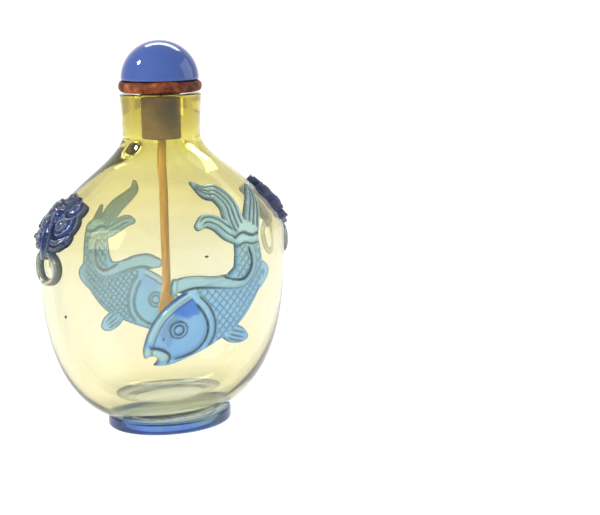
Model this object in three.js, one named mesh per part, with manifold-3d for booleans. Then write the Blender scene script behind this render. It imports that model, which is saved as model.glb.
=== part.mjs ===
// A snuff bottle of pale yellow glass, cased in blue glass. The casing is carved away to a carp on
// each broad face, a lion mask with a ring on each narrow side, and the foot. The stopper is a glass
// dome on a leather collar, with a cork below it and a slim bone spoon that hangs in the bottle.
// Millimetres, +Z up. The origin is under the middle of the foot, and the front carp faces -Y.
import * as THREE from 'three';
import Module from 'manifold-3d';

// Driving dimensions
const bellyLevel = 34.6;
const belly = { halfWidth: 24.55, halfDepth: 16.6 };
const shoulder = { reach: 19.4, power: 1.41, softness: 0.05 };
const bowl = { reach: 34, power: 2.7, softness: 0 };
const neck = { root: 54.2, rim: 62, rootRadius: 7.15, rimRadius: 7.5, blend: 6 };
const wall = { side: 2, face: 1.9, shoulder: 1.2, floor: 5.4, boreRadius: 3.8, blend: 4 };
const foot = { halfWidth: 12, halfDepth: 10.6, height: 2.4, edge: 0.5, rimWidth: 2.6, recess: 1.2 };
const collar = { radius: 7.65, bottom: 62.4, height: 2.1 };
const dome = { radius: 7.15, height: 7.2 };
const cork = { radius: 3.65, bottom: 53.8 };
const spoon = { stemRadius: 0.8, bowlHalfWidth: 2.1, bowlHalf: 0.45, dish: 0.5, neckLevel: 27, tipLevel: 14 };

// How finely the round shapes are divided
const bodySides = 40;
const cavitySides = 24;
const turnedSides = 24;
const sunk = 0.8;   // how deep the casing's carvings are rooted in the wall

// The four sides of the bottle, as turns about Z of the front
const front = 0;
const right = Math.PI / 2;
const back = Math.PI;
const left = -Math.PI / 2;

const wasm = await Module();
wasm.setup();

// Profiles

// The half width that a super-ellipse leaves at a level. Its softness rounds it off at the belly.
function superCurve(z, half, top, bottom) {
  const { reach, power, softness } = z > bellyLevel ? top : bottom;
  const rise = Math.min(Math.abs(z - bellyLevel) / reach, 1);
  const u = (Math.hypot(rise, softness) - softness) / (Math.hypot(1, softness) - softness);
  return half * (1 - u ** power) ** (1 / power);
}

function smoothMax(a, b, width) {
  const overlap = Math.max(width - Math.abs(a - b), 0) / width;
  return Math.max(a, b) + overlap * overlap * width / 4;
}

function neckRadius(z) {
  const t = THREE.MathUtils.clamp((z - neck.root) / (neck.rim - neck.root), 0, 1);
  return neck.rootRadius + (neck.rimRadius - neck.rootRadius) * t * t;
}

// Half width and half depth of the outside at a level
function outside(z) {
  return [belly.halfWidth, belly.halfDepth].map((half) => {
    const body = superCurve(z, half, shoulder, bowl);
    return z < bellyLevel ? body : smoothMax(body, neckRadius(z), neck.blend);
  });
}

// Half width and half depth of the cavity at a level
function inside(z) {
  const top = { ...shoulder, reach: shoulder.reach - wall.shoulder };
  const bottom = { ...bowl, reach: bellyLevel - wall.floor };
  const halves = [belly.halfWidth - wall.side, belly.halfDepth - wall.face];
  return halves.map((half) => {
    const chamber = superCurve(z, half, top, bottom);
    return z < bellyLevel ? chamber : smoothMax(chamber, wall.boreRadius, wall.blend);
  });
}

// Solids

// A closed solid through rows of points, each row a closed loop. The ends are fans about their middles,
// or the last row meets the first one where the solid is a ring.
function loft(rows, isRing = false) {
  const count = rows[0].length;
  const points = rows.flat();
  const triangles = [];
  const last = isRing ? rows.length : rows.length - 1;
  for (let i = 0; i < last; i++) {
    for (let j = 0; j < count; j++) {
      const [here, ahead] = [i * count, ((i + 1) % rows.length) * count];
      const k = (j + 1) % count;
      triangles.push([here + j, here + k, ahead + k], [here + j, ahead + k, ahead + j]);
    }
  }
  if (!isRing) {
    for (const [start, turned] of [[0, true], [(rows.length - 1) * count, false]]) {
      const middle = new THREE.Vector3();
      points.slice(start, start + count).forEach((point) => middle.addScaledVector(point, 1 / count));
      const hub = points.push(middle) - 1;
      for (let j = 0; j < count; j++) {
        const k = (j + 1) % count;
        triangles.push(turned ? [hub, start + k, start + j] : [hub, start + j, start + k]);
      }
    }
  }
  return solidOf(points, triangles);
}

// The solid with those corners, its faces turned outward
function solidOf(points, triangles) {
  const volume = triangles.reduce((sum, [a, b, c]) => {
    return sum + points[a].dot(new THREE.Vector3().crossVectors(points[b], points[c])) / 6;
  }, 0);
  const faces = volume < 0 ? triangles.map(([a, b, c]) => [a, c, b]) : triangles;
  const vertProperties = new Float32Array(points.flatMap((point) => point.toArray()));
  const triVerts = new Uint32Array(faces.flat());
  return new wasm.Manifold(new wasm.Mesh({ numProp: 3, vertProperties, triVerts }));
}

function geometryOf(solid) {
  const { vertProperties, triVerts } = solid.getMesh();
  const geometry = new THREE.BufferGeometry();
  geometry.setAttribute('position', new THREE.BufferAttribute(vertProperties, 3));
  geometry.setIndex(new THREE.BufferAttribute(triVerts, 1));
  geometry.computeVertexNormals();
  return geometry;
}

function join(solids) {
  return solids.reduce((whole, solid) => whole.add(solid));
}

// An oval loop of points at one level
function oval(halfWidth, halfDepth, z, sides) {
  return Array.from({ length: sides }, (_, i) => {
    const angle = i / sides * 2 * Math.PI;
    return new THREE.Vector3(halfWidth * Math.cos(angle), halfDepth * Math.sin(angle), z);
  });
}

// Levels from one height to another. A bend over 1 crowds them towards the start.
function levels(from, to, steps, bend = 1) {
  return Array.from({ length: steps + 1 }, (_, i) => from + (to - from) * (i / steps) ** bend);
}

// The casing's carvings, laid on the wall

// The point of the wall that is u across the given side and z up, lifted off the wall by a height
function onWall(side, u, z, height) {
  const isBroad = Math.abs(Math.cos(side)) > 0.5;
  const halves = (level) => (isBroad ? outside(level) : outside(level).reverse());
  const [across, deep] = halves(z);
  const v = deep * Math.sqrt(1 - (u / across) ** 2);
  const step = 0.01;
  const [acrossUp, deepUp] = halves(z + step);
  const normal = new THREE.Vector3(
    u / across ** 2,
    v / deep ** 2,
    -(u * u * (acrossUp - across) / across ** 3 + v * v * (deepUp - deep) / deep ** 3) / step,
  ).setLength(height);
  const point = new THREE.Vector3(u + normal.x, -(v + normal.y), z + normal.z);
  return point.applyAxisAngle(new THREE.Vector3(0, 0, 1), side);
}

// Cross sections of a carved band: how far across it, from -1 to 1, and what share of its full height
const bevelled = [[-1, 0.35], [-0.72, 0.9], [0, 1], [0.72, 0.9], [1, 0.35]];
const rayed = [[-1, 0.45], [-0.55, 1], [0, 0.6], [0.55, 1], [1, 0.45]];
const ridged = [[-1, 0.2], [0, 1], [1, 0.2]];

// A raised band. Its knots are [u, z, half width, height], joined by smooth curves.
function band(side, knots, steps, section) {
  const curve = (first) => {
    const points = knots.map((knot) => new THREE.Vector3(knot[first], knot[first + 1], 0));
    return new THREE.CatmullRomCurve3(points);
  };
  const [path, size] = [curve(0), curve(2)];
  const rows = levels(0, 1, steps).map((t) => {
    const middle = path.getPoint(t);
    const along = path.getTangent(t);
    const { x: width, y: height } = size.getPoint(t);
    const at = (across, lift) => {
      return onWall(side, middle.x + along.y * across * width, middle.y - along.x * across * width, lift);
    };
    const top = section.map(([across, share]) => at(across, height * share));
    return [...top, ...section.toReversed().map(([across]) => at(across, -sunk))];
  });
  return loft(rows);
}

// A round boss, its steps given as [share of the radius, share of the height] from the rim to the middle
function boss(side, u, z, radius, height, steps, sides = 6) {
  const rows = [[1, -sunk / height], ...steps].map(([reach, share]) => {
    return Array.from({ length: sides }, (_, i) => {
      const angle = i / sides * 2 * Math.PI;
      const r = radius * reach;
      return onWall(side, u + r * Math.cos(angle), z + r * Math.sin(angle), height * share);
    });
  });
  return loft(rows);
}

const pearl = [[0.9, 0.65], [0.5, 1]];
const curl = [[0.9, 1], [0.5, 0.65], [0.25, 0.95]];

// A carp that rises in a bend: head low on the left, back to the top, tail high on the right
const frontCarp = {
  body: [
    [-11.2, 16.5, 1, 0.9],
    [-9.3, 18.2, 3.4, 1],
    [-6.2, 21.1, 5.3, 1.1],
    [-2.3, 23.4, 6.1, 1.2],
    [1.7, 24.6, 5.4, 1.2],
    [5.2, 26.6, 4.3, 1.1],
    [7.8, 29.5, 3.7, 1],
    [8.1, 33, 3.2, 0.9],
    [7.7, 36.9, 2.9, 0.8],
  ],
  head: [
    [-10.8, 17, 1.1, 1.2],
    [-8.7, 18.8, 2.9, 1.5],
    [-6.2, 20.8, 4.2, 1.7],
    [-4, 21.9, 3.9, 1.7],
    [-2.1, 22.4, 2.1, 1.4],
  ],
  gill: [
    [-4.2, 27.2, 0.3, 1.3],
    [-1.4, 25.2, 0.5, 1.6],
    [-0.1, 21.8, 0.5, 1.6],
    [-1.6, 18.4, 0.5, 1.5],
    [-4.6, 16.5, 0.3, 1.2],
  ],
  lip: [[-11.7, 18.3, 0.4, 1.2], [-10, 18.5, 0.6, 1.6], [-8.8, 17.4, 0.6, 1.6], [-8.9, 15.9, 0.4, 1.2]],
  backFin: [
    [-7.2, 28.9, 1.4, 0.7],
    [-4.8, 29.5, 1.5, 0.8],
    [-1.6, 29.5, 1.3, 0.8],
    [2, 29, 1.1, 0.8],
    [4.4, 30.4, 1, 0.8],
  ],
  ridge: [
    [2.4, 28.1, 0.3, 1.2],
    [6.1, 28.9, 0.4, 1.4],
    [8, 30.9, 0.4, 1.4],
    [8.2, 33, 0.4, 1.3],
    [7.5, 35.4, 0.3, 1],
  ],
  bellyFin: [[11.2, 31.4, 0.6, 0.6], [12.6, 29.5, 1.1, 0.7], [11.1, 27.2, 0.8, 0.7]],
  pelvicFin: [[2.4, 20, 1.2, 0.9], [4.4, 19.1, 1.8, 0.9], [6.1, 18.4, 1.6, 0.8], [7.5, 18, 0.9, 0.7]],
  tailBand: [[4.7, 36.2, 0.4, 1], [6.6, 37.1, 0.6, 1.2], [8.8, 36.5, 0.6, 1.2], [10.5, 36.6, 0.4, 1]],
  longLobe: [
    [6.5, 36.4, 1.9, 0.8],
    [5.6, 39.4, 2.2, 1],
    [5.3, 42.2, 1.9, 1],
    [3.5, 44.4, 1.5, 0.9],
    [1.3, 44.8, 1.1, 0.9],
    [-0.5, 46.5, 0.4, 0.8],
  ],
  lowLobe: [
    [6.3, 36.6, 1.6, 0.8],
    [3.6, 37.9, 1.7, 0.9],
    [1.6, 39.5, 1.4, 0.9],
    [-0.3, 40.3, 1.1, 0.9],
    [-2.2, 39.4, 0.6, 0.8],
  ],
  sideLobe: [[9.1, 36.6, 1.5, 0.8], [9.9, 39, 1.9, 0.9], [11.8, 42, 1.4, 0.9], [12.8, 44.6, 0.5, 0.8]],
};
const carpEye = { u: -7, z: 21.8, radius: 1.4, height: 2.1 };

// The carp of the back is smaller and lower, with a longer tail
const backShrink = 0.87;
const backDrop = 2;
const backTail = {
  longLobe: [
    [5.9, 34, 1.7, 0.8],
    [3.8, 36.8, 1.8, 1],
    [2.2, 39.2, 1.9, 1],
    [0.3, 41.4, 1.5, 0.9],
    [-0.7, 43.2, 1, 0.9],
    [-0.3, 45.4, 0.4, 0.8],
  ],
  lowLobe: [
    [5.4, 34, 1.5, 0.8],
    [3.4, 34.2, 1.6, 0.9],
    [1.2, 35, 1.5, 0.9],
    [-0.6, 35.6, 1.3, 0.9],
    [-2, 35.3, 0.7, 0.8],
  ],
  sideLobe: [[7.2, 34, 1.3, 0.8], [6.8, 36, 1.1, 0.9], [6.4, 38.2, 0.8, 0.9], [6.1, 40.2, 0.3, 0.8]],
};

// How each band of a carp is divided and cut
const carpBands = {
  body: [12, bevelled],
  head: [6, bevelled],
  gill: [7, ridged],
  lip: [4, ridged],
  backFin: [6, rayed],
  ridge: [6, ridged],
  bellyFin: [4, ridged],
  pelvicFin: [4, rayed],
  tailBand: [4, ridged],
  longLobe: [7, rayed],
  lowLobe: [7, rayed],
  sideLobe: [7, rayed],
};

function carpSolids(side, shrink = 1, drop = 0, ownBands = {}) {
  const bands = Object.entries(carpBands).map(([name, [steps, section]]) => {
    const shifted = frontCarp[name].map(([u, z, ...rest]) => [u * shrink, z - drop, ...rest]);
    return band(side, ownBands[name] ?? shifted, steps, section);
  });
  const { u, z, radius, height } = carpEye;
  return [...bands, boss(side, u * shrink, z - drop, radius, height, curl)];
}

// A lion mask that holds a ring in its mouth. It is carved a little forward of the side's middle.
const mask = {
  forward: 1.2,
  plate: [[0, 36.2, 2.6, 0.8], [0, 37.3, 4.3, 1], [0, 39.5, 4.9, 1.1], [0, 41.8, 4.3, 1], [0, 43.8, 2, 0.8]],
  topCurl: [0, 43.3, 1.2],
  sideCurl: [2.6, 42, 1.5],
  curlHeight: 1.5,
  forehead: [0, 41.1, 1.5],
  socket: { u: 2.1, z: 39.7, radius: 2.2, height: 1.4 },
  eye: { u: 2, z: 39.7, radius: 1.2, height: 1.8 },
  whiskers: [[0.8, 37.2, 0.4, 1.3], [2.6, 37.3, 0.5, 1.5], [4.3, 38.3, 0.4, 1.1]],
  nose: [[0, 40.2, 0.6, 1.5], [0, 38.6, 1, 1.7], [0, 37.2, 1.5, 1.8], [0, 36.1, 1.2, 1.5], [0, 35, 0.9, 1.3]],
  ring: { level: 32.7, radius: 2.7, halfWidth: 0.65, height: 1.1 },
};

function ringSolid(side, forward) {
  const { level, radius, halfWidth, height } = mask.ring;
  const section = [[-1, -sunk], [-0.8, height], [0.8, height], [1, -sunk]];
  const steps = 16;
  const rows = Array.from({ length: steps }, (_, i) => {
    const angle = i / steps * 2 * Math.PI;
    return section.map(([across, lift]) => {
      const r = radius + across * halfWidth;
      return onWall(side, forward + r * Math.cos(angle), level + r * Math.sin(angle), lift);
    });
  });
  return loft(rows, true);
}

function maskSolids(side, forward) {
  const { topCurl, sideCurl, curlHeight, forehead, socket, eye } = mask;
  const moved = (knots, hand = 1) => knots.map(([u, ...rest]) => [forward + hand * u, ...rest]);
  const knob = ([u, z, radius], hand, steps) => boss(side, forward + hand * u, z, radius, curlHeight, steps);
  const pairs = [1, -1].flatMap((hand) => [
    knob(sideCurl, hand, curl),
    boss(side, forward + hand * socket.u, socket.z, socket.radius, socket.height, pearl),
    boss(side, forward + hand * eye.u, eye.z, eye.radius, eye.height, pearl),
    band(side, moved(mask.whiskers, hand), 4, ridged),
  ]);
  return [
    band(side, moved(mask.plate), 5, bevelled),
    band(side, moved(mask.nose), 4, ridged),
    knob(topCurl, 1, curl),
    knob(forehead, 1, pearl),
    ringSolid(side, forward),
    ...pairs,
  ];
}

// The bottle, one piece of glass: the body, the casing's carvings, the foot and the cavity

function vessel() {
  const rooted = foot.height / 2;
  const heights = [
    ...levels(rooted, bellyLevel, 8, 1.5).slice(0, -1),
    ...levels(bellyLevel, neck.rim, 11),
  ];
  return loft(heights.map((z) => oval(...outside(z), z, bodySides)));
}

function footSolid() {
  const { halfWidth, halfDepth, height, edge } = foot;
  const steps = [[edge, 0], [0, edge], [0, height - edge], [edge, height]];
  return loft(steps.map(([inset, z]) => oval(halfWidth - inset, halfDepth - inset, z, bodySides)));
}

function footRecess() {
  const { halfWidth, halfDepth, rimWidth, recess } = foot;
  const steps = [[rimWidth - 0.3, -1], [rimWidth - 0.3, 0], [rimWidth, recess]];
  return loft(steps.map(([inset, z]) => oval(halfWidth - inset, halfDepth - inset, z, bodySides)));
}

function cavity() {
  const past = 1;
  const heights = [
    ...levels(wall.floor + 0.15, bellyLevel, 6, 1.5).slice(0, -1),
    ...levels(bellyLevel, neck.root, 7),
    neck.rim + past,
  ];
  return loft(heights.map((z) => oval(...inside(z), z, cavitySides)));
}

function bottleSolid() {
  const carvings = [
    ...carpSolids(front),
    ...carpSolids(back, backShrink, backDrop, backTail),
    ...maskSolids(left, mask.forward),
    ...maskSolids(right, -mask.forward),
  ];
  return join([vessel(), footSolid(), ...carvings]).subtract(footRecess()).subtract(cavity());
}

// The stopper

function turned(profile) {
  const points = profile.map(([r, z]) => new THREE.Vector2(r, z));
  return new THREE.LatheGeometry(points, turnedSides).rotateX(Math.PI / 2);
}

function domeGeometry() {
  const base = collar.bottom + collar.height;
  const round = levels(0, Math.PI / 2, 7).map((angle, i, all) => {
    const r = i === all.length - 1 ? 0 : dome.radius * Math.cos(angle);
    return [r, base + dome.height * Math.sin(angle)];
  });
  return turned([[0, base], ...round]);
}

function collarGeometry() {
  const { radius, bottom, height } = collar;
  const half = height / 2;
  const edge = levels(-Math.PI / 2, Math.PI / 2, 4).map((angle) => {
    return [radius - half + half * Math.cos(angle), bottom + half + half * Math.sin(angle)];
  });
  return turned([[0, bottom], ...edge, [0, bottom + height]]);
}

function corkGeometry() {
  const chamfer = 0.3;
  return turned([
    [0, cork.bottom],
    [cork.radius - chamfer, cork.bottom],
    [cork.radius, cork.bottom + chamfer],
    [cork.radius, collar.bottom],
    [0, collar.bottom],
  ]);
}

// The spoon is flat and leaf-shaped below, with a shallow dish towards the front
function spoonSolid() {
  const sides = 8;
  const { stemRadius, bowlHalfWidth, bowlHalf, dish, neckLevel, tipLevel } = spoon;
  const section = (z) => {
    const t = THREE.MathUtils.clamp((neckLevel - z) / (neckLevel - tipLevel), 0, 1);
    const swell = Math.sin(Math.PI * t ** 1.3);
    const tip = Math.sqrt(Math.max(1 - t ** 6, 0.02));
    return {
      width: (stemRadius + (bowlHalfWidth - stemRadius) * swell) * tip,
      thick: (stemRadius + (bowlHalf - stemRadius) * Math.min(t * 4, 1)) * tip,
      hollow: dish * swell,
    };
  };
  const heights = [cork.bottom, neckLevel, ...levels(neckLevel, tipLevel, 9).slice(1)];
  return loft(heights.map((z) => {
    const { width, thick, hollow } = section(z);
    return oval(width, thick, z, sides).map((point) => {
      point.y += hollow * (1 - (point.x / width) ** 2);
      return point;
    });
  }));
}

function mesh(name, geometry, material) {
  const piece = new THREE.Mesh(geometry, new THREE.MeshStandardMaterial(material));
  piece.name = name;
  return piece;
}

const snuffBottle = new THREE.Group();
snuffBottle.add(
  mesh('bottle', geometryOf(bottleSolid()), { color: '#e6dc8c', roughness: 0.05, metalness: 0 }),
  mesh('stopper_dome', domeGeometry(), { color: '#5a6ebe', roughness: 0.08, metalness: 0 }),
  mesh('stopper_collar', collarGeometry(), { color: '#a8552f', roughness: 0.6, metalness: 0 }),
  mesh('cork', corkGeometry(), { color: '#6e4a24', roughness: 0.9, metalness: 0 }),
  mesh('spoon', geometryOf(spoonSolid()), { color: '#c9954f', roughness: 0.5, metalness: 0 }),
);

export default snuffBottle;
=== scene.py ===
# A snuff bottle of pale yellow glass cased in blue glass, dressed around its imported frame.
import math

import bpy
import numpy as np
from mathutils import Matrix, Vector


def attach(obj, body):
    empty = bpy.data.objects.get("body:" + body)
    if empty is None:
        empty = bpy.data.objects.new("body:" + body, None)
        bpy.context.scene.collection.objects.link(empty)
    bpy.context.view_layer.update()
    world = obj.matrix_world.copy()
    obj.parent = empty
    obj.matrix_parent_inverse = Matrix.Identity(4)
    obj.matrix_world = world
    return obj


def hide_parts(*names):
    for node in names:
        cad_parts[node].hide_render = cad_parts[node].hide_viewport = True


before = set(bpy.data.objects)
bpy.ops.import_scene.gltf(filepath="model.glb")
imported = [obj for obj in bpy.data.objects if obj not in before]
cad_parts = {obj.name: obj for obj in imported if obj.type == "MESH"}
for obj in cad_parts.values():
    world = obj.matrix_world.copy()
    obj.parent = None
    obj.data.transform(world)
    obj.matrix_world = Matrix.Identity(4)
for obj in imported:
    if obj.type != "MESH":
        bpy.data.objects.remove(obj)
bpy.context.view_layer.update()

scene = bpy.context.scene
mm = 0.001    # the shape functions below count in millimetres, and meshes are in metres


# sRGB hex to the linear colour that the nodes take
def hexColour(text):
    channels = [int(text[i:i + 2], 16) / 255 for i in (1, 3, 5)]
    linear = [c / 12.92 if c <= 0.04045 else ((c + 0.055) / 1.055) ** 2.4 for c in channels]
    return (*linear, 1.0)


# Adds a node. Settings are its own properties or its input values, links are its input sources.
def addNode(tree, kind, settings=None, links=None):
    node = tree.nodes.new(kind)
    for name, value in (settings or {}).items():
        if isinstance(name, int) or name in node.inputs:
            node.inputs[name].default_value = value
        else:
            setattr(node, name, value)
    for name, source in (links or {}).items():
        tree.links.new(source, node.inputs[name])
    return node


# Sets a colour ramp's stops, each [position, colour]
def fillRamp(ramp, stops):
    elements = ramp.color_ramp.elements
    while len(elements) < len(stops):
        elements.new(0.5)
    for element, (position, hue) in zip(elements, stops):
        element.position = position
        element.color = hexColour(hue)


def newMaterial(name):
    material = bpy.data.materials.new(name)
    material.use_nodes = True
    material.node_tree.nodes.clear()
    return material, material.node_tree


# Makes a piece from points in mm. Each attribute is a number for each point, which its material reads.
def addPiece(name, points, faces, material, sharpAngle=60, attributes=None):
    mesh = bpy.data.meshes.new(name)
    mesh.from_pydata((np.asarray(points) * mm).tolist(), [], faces)
    mesh.validate()
    mesh.polygons.foreach_set("use_smooth", [True] * len(mesh.polygons))
    mesh.set_sharp_from_angle(angle=math.radians(sharpAngle))
    for title, values in (attributes or {}).items():
        layer = mesh.attributes.new(title, "FLOAT", "POINT")
        layer.data.foreach_set("value", np.asarray(values).astype(np.float32))
    mesh.materials.append(material)
    piece = bpy.data.objects.new(name, mesh)
    scene.collection.objects.link(piece)
    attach(piece, "root")
    return piece


def circle(radius, level):
    return radius, radius, level


# A closed skin through oval loops, each [half width, half depth, level]
def loftOvals(loops, sides, isRing=False, wobble=None):
    angles = np.arange(sides) / sides * 2 * np.pi
    rows = []
    for i, (wide, deep, level) in enumerate(loops):
        row = np.stack([wide * np.cos(angles), deep * np.sin(angles), np.full(sides, level)], 1)
        rows.append(row if wobble is None else wobble(row, i, angles))
    points = np.concatenate(rows)
    faces = []
    count = len(loops)
    for i in range(count if isRing else count - 1):
        here, ahead = i * sides, (i + 1) % count * sides
        for j in range(sides):
            k = (j + 1) % sides
            faces.append((here + j, here + k, ahead + k, ahead + j))
    if not isRing:
        hubs = [rows[0].mean(0), rows[-1].mean(0)]
        points = np.concatenate([points, hubs])
        first, last = len(points) - 2, len(points) - 1
        top = (count - 1) * sides
        for j in range(sides):
            k = (j + 1) % sides
            faces.append((first, k, j))
            faces.append((last, top + j, top + k))
    return points, faces


# The glass bottle: the outside is a flattened oval with a round neck, and the inside follows it
# a wall's width in
bottle = {
    "bellyLevel": 34.6, "halfWidth": 24.55, "halfDepth": 16.6,
    "shoulderReach": 20.07, "shoulderPower": 1.273, "shoulderSoftness": 0.15,
    "bowlReach": 34, "bowlPower": 2.7,
    "neckRoot": 54.2, "neckRim": 62, "rootRadius": 7.15, "rimRadius": 7.5, "neckBlend": 6,
    "wallSide": 2, "wallFace": 1.9, "wallShoulder": 1.2, "floorLevel": 3.8,
    "boreRadius": 3.8, "boreBlend": 4, "lipRound": 0.35, "lipSteps": 5, "bottomLevel": 1.25,
    "sides": 192, "bowlRows": 56, "shoulderRows": 84, "cavityBowlRows": 40, "cavityShoulderRows": 72,
}


# A half width that is widest at the belly and closes at the two reaches above and below it
def superCurve(z, half, topReach, bottomReach):
    rise = np.abs(z - bottle["bellyLevel"])
    isUp = z > bottle["bellyLevel"]
    rise = np.clip(rise / np.where(isUp, topReach, bottomReach), 0, 1)
    soft = np.where(isUp, bottle["shoulderSoftness"], 0)
    power = np.where(isUp, bottle["shoulderPower"], bottle["bowlPower"])
    u = (np.hypot(rise, soft) - soft) / (np.hypot(1, soft) - soft)
    return half * np.clip(1 - u ** power, 0, 1) ** (1 / power)


# The larger of two, blended where they are close
def smoothMax(a, b, width):
    overlap = np.maximum(width - np.abs(a - b), 0) / width
    return np.maximum(a, b) + overlap * overlap * width / 4


# Half width and half depth of the outside at a level
def outside(z):
    z = np.asarray(z, float)
    t = np.clip((z - bottle["neckRoot"]) / (bottle["neckRim"] - bottle["neckRoot"]), 0, 1)
    neck = bottle["rootRadius"] + (bottle["rimRadius"] - bottle["rootRadius"]) * t * t
    halves = []
    for half in (bottle["halfWidth"], bottle["halfDepth"]):
        body = superCurve(z, half, bottle["shoulderReach"], bottle["bowlReach"])
        halves.append(np.where(z < bottle["bellyLevel"], body, smoothMax(body, neck, bottle["neckBlend"])))
    return halves


# Half width and half depth of the cavity at a level
def inside(z):
    z = np.asarray(z, float)
    top = bottle["shoulderReach"] - bottle["wallShoulder"]
    bottom = bottle["bellyLevel"] - bottle["floorLevel"]
    halves = []
    for half in (bottle["halfWidth"] - bottle["wallSide"], bottle["halfDepth"] - bottle["wallFace"]):
        chamber = superCurve(z, half, top, bottom)
        mixed = smoothMax(chamber, bottle["boreRadius"], bottle["boreBlend"])
        halves.append(np.where(z < bottle["bellyLevel"], chamber, mixed))
    return halves


# Levels of the bowl below the belly, spaced evenly round its curve
def bowlLevels(reach, lowest, steps):
    angle = np.linspace(0, np.pi / 2, steps + 1)
    level = bottle["bellyLevel"] - reach * np.cos(angle) ** (2 / bottle["bowlPower"])
    return level[level > lowest + 0.01][:-1]


# The sides of the bottle, each the turn about Z that brings the front there
front, right, back, left = 0, math.pi / 2, math.pi, -math.pi / 2


# Points of the wall that are u across a side and z up, lifted off the wall
def onWall(side, u, z, lift):
    isBroad = abs(math.cos(side)) > 0.5
    order = 1 if isBroad else -1
    step = 0.01
    across, deep = outside(z)[::order]
    acrossUp, deepUp = outside(z + step)[::order]
    v = deep * np.sqrt(np.clip(1 - (u / across) ** 2, 0, 1))
    slope = (u * u * (acrossUp - across) / across ** 3 + v * v * (deepUp - deep) / deep ** 3) / step
    normal = np.stack([u / across ** 2, -v / deep ** 2, -slope], -1)
    normal /= np.linalg.norm(normal, axis=-1, keepdims=True)
    points = np.stack([u, -v, z], -1) + normal * np.asarray(lift)[..., None]
    turn = np.array([[math.cos(side), -math.sin(side), 0], [math.sin(side), math.cos(side), 0], [0, 0, 1]])
    return points @ turn.T


# Carving, in mm: the mesh grid, how far the skin sits in the wall, how far its edge is rounded, the width of
# the line of painted shade round its rim, where the relief's sides lie in shade, and the least height that is
# left anywhere. seenThrough weakens the tones on its back.
carving = {"grid": 0.13, "embed": 0.15, "edge": 0.45, "rimWidth": 0.2, "least": 0.12, "seenThrough": 0.85}


# A smooth curve through the knots
def smoothPath(knots, perSpan=26):
    k = np.array(knots, float)
    k = np.vstack([2 * k[0] - k[1], k, 2 * k[-1] - k[-2]])
    t = np.linspace(0, 1, perSpan, endpoint=False)[:, None]
    spans = [
        0.5 * (2 * b + (c - a) * t + (2 * a - 5 * b + 4 * c - d) * t ** 2 + (3 * b - a - 3 * c + d) * t ** 3)
        for a, b, c, d in zip(k, k[1:], k[2:], k[3:])
    ]
    return np.vstack([*spans, k[-2:-1]])


# How each point of the wall lies to a stroke whose knots are [u, z, half width, height]:
# gap is outside it, along and across are in its own direction, and share is across over its half width
def strokeField(knots, u, z):
    path = smoothPath(knots)
    middle = path[:, :2]
    tangent = np.gradient(middle, axis=0)
    tangent /= np.linalg.norm(tangent, axis=1)[:, None]
    travelled = np.concatenate([[0], np.cumsum(np.linalg.norm(np.diff(middle, axis=0), axis=1))])
    gap = np.full(u.shape, 1e9)
    nearest = np.full(u.shape, 1e9)
    along, across, half, height = (np.zeros(u.shape) for _ in range(4))
    for (pu, pz, wide, tall), (tu, tz), start in zip(path, tangent, travelled):
        du, dz = u - pu, z - pz
        reach = np.hypot(du, dz)
        gap = np.minimum(gap, reach - wide)
        near = reach < nearest
        nearest[near] = reach[near]
        along[near] = (start + du * tu + dz * tz)[near]
        across[near] = (tu * dz - tz * du)[near]
        half[near] = wide
        height[near] = tall
    return {
        "gap": gap, "along": along, "across": across, "share": across / np.maximum(half, 0.05),
        "height": height, "length": travelled[-1], "reach": nearest,
    }


# From 0 at an outline to 1 from width in, as a quarter round
def roundOver(gap, width):
    return np.sqrt(1 - (1 - np.clip(-gap / width, 0, 1)) ** 2)


# A groove's section: 1 in its middle, fading to its sides
def furrow(distance, width):
    return np.exp(-(distance / width) ** 2)


def smoothStep(low, high, x):
    t = np.clip((x - low) / (high - low), 0, 1)
    return t * t * (3 - 2 * t)
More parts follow.
